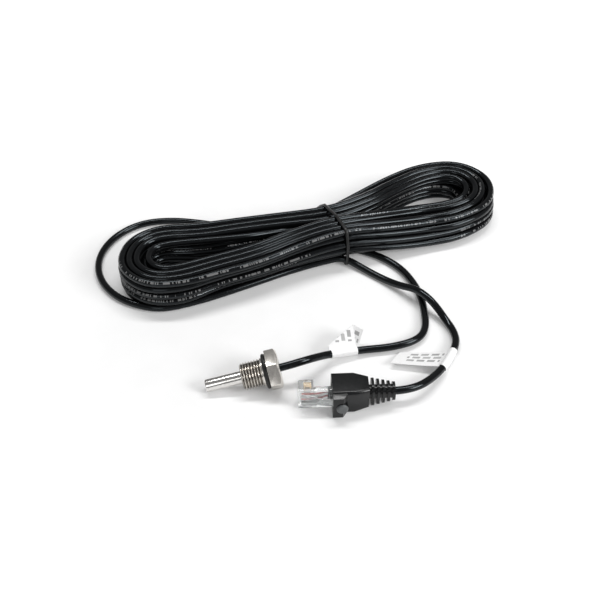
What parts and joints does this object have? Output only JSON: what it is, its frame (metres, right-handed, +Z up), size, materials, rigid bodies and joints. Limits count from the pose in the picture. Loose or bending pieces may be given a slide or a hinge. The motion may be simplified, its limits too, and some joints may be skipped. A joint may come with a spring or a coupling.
{
  "type": "water temperature probe",
  "caption": "Screw-in water temperature probe with a steel tip, sealing ring and hexagon, on a tied hank of black cable that ends in a booted modular plug.",
  "frame": {"origin": "middle of the probe's own box at the table, without the cable and plug", "axes": "+X along the probe in plan, from its tip to its cable; +Y towards the hank; +Z up from the table"},
  "size_m": [0.2232, 0.1683, 0.022],
  "materials": {
    "sheath_steel": "bright drawn",
    "fitting_nickel": "bright nickel, turned",
    "ring_rubber": "moulded",
    "bead_epoxy": "dipped",
    "lead_tinned": "tinned",
    "sleeve_black": "shrunk",
    "core_red": "extruded",
    "core_white": "extruded",
    "core_rose": "extruded",
    "core_black": "extruded",
    "filler_grey": "cast",
    "resin_black": "cast",
    "jacket_black": "satin, extruded",
    "tie_black": "satin",
    "label_white": "satin film",
    "plug_clear": "clear moulded",
    "contact_gold": "gold plated",
    "boot_black": "moulded"
  },
  "bodies": {
    "root": {"probe_sheath": "sheath_steel", "threaded_fitting": "fitting_nickel", "sealing_ring": "ring_rubber", "thermistor_bead": "bead_epoxy", "thermistor_lead_1": "lead_tinned", "thermistor_lead_2": "lead_tinned", "splice_sleeve_1": "sleeve_black", "splice_sleeve_2": "sleeve_black", "probe_core_1": "core_red", "plug_core_1": "core_red", "probe_core_2": "core_white", "plug_core_2": "core_white", "plug_core_3": "core_rose", "plug_core_4": "core_black", "tip_filler": "filler_grey", "cable_seal": "resin_black", "cable_probe_lead": "jacket_black", "cable_hank": "jacket_black", "cable_loose_loop": "jacket_black", "cable_plug_lead": "jacket_black", "hank_tie": "tie_black", "label_probe_end": "label_white", "label_plug_end": "label_white", "plug_body": "plug_clear", "plug_contact_1": "contact_gold", "plug_contact_2": "contact_gold", "plug_contact_3": "contact_gold", "plug_contact_4": "contact_gold", "plug_contact_5": "contact_gold", "plug_contact_6": "contact_gold", "plug_contact_7": "contact_gold", "plug_contact_8": "contact_gold", "plug_boot": "boot_black"}
  },
  "joints": []
}
